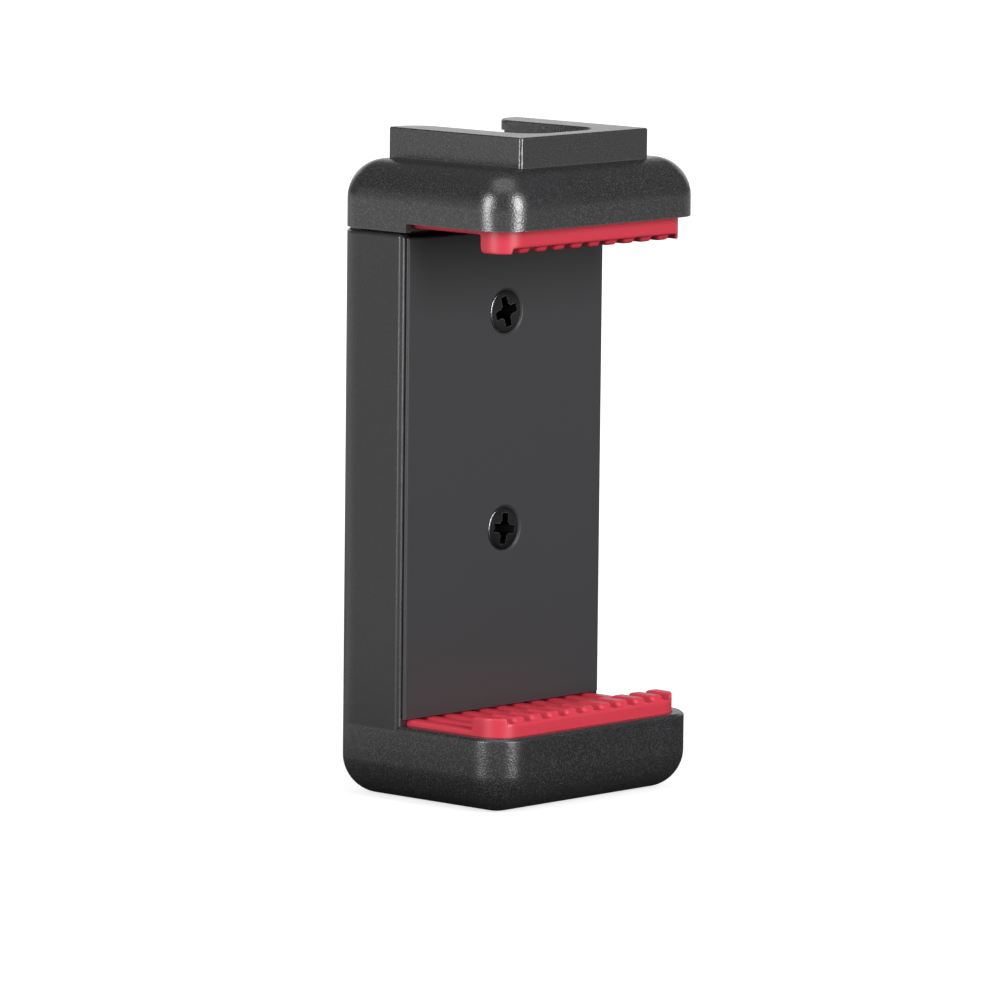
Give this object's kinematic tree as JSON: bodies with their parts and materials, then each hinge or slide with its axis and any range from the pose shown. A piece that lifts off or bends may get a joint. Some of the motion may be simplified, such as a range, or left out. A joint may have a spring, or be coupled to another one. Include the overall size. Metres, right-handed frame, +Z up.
{
  "type": "phone holder",
  "caption": "Spring-loaded phone holder: a sliding upper jaw and a lower jaw with ribbed pads, an accessory shoe on top and a tripod thread in the foot.",
  "frame": {"origin": "middle of the foot, on the surface that the holder stands on", "axes": "+Z up along the slide, towards the accessory shoe; the pads and the phone's side face -Y; +X along the width of the jaws"},
  "size_m": [0.0374, 0.0294, 0.0833],
  "materials": {
    "frame_plastic": "black moulding with a fine spark-eroded grain",
    "shell_plastic": "black moulding with a fine spark-eroded grain",
    "pad_rubber": "red moulded rubber, satin",
    "black_screw_steel": "black-plated steel, glossy",
    "spring_steel": "bright drawn spring wire",
    "pin_steel": "ground steel pin",
    "insert_brass": "turned brass with a straight knurl"
  },
  "bodies": {
    "holder": {"front_frame": "frame_plastic", "rear_shell": "shell_plastic", "lower_pad": "pad_rubber", "lower_plate_screw": "black_screw_steel", "upper_plate_screw": "black_screw_steel", "lower_spring_pin": "pin_steel", "left_spring": "spring_steel", "right_spring": "spring_steel", "tripod_insert": "insert_brass"},
    "sliding_jaw": {"upper_jaw": "frame_plastic", "upper_pad": "pad_rubber", "upper_spring_pin": "pin_steel"}
  },
  "joints": [
    {"name": "jaw_slide", "type": "slide", "parent": "holder", "child": "sliding_jaw", "axis": [0, 0, 1], "range_m": [0, 0.028], "stiffness_N_per_m": 350, "springref_m": -0.02, "deforming": ["left_spring", "right_spring"]}
  ]
}
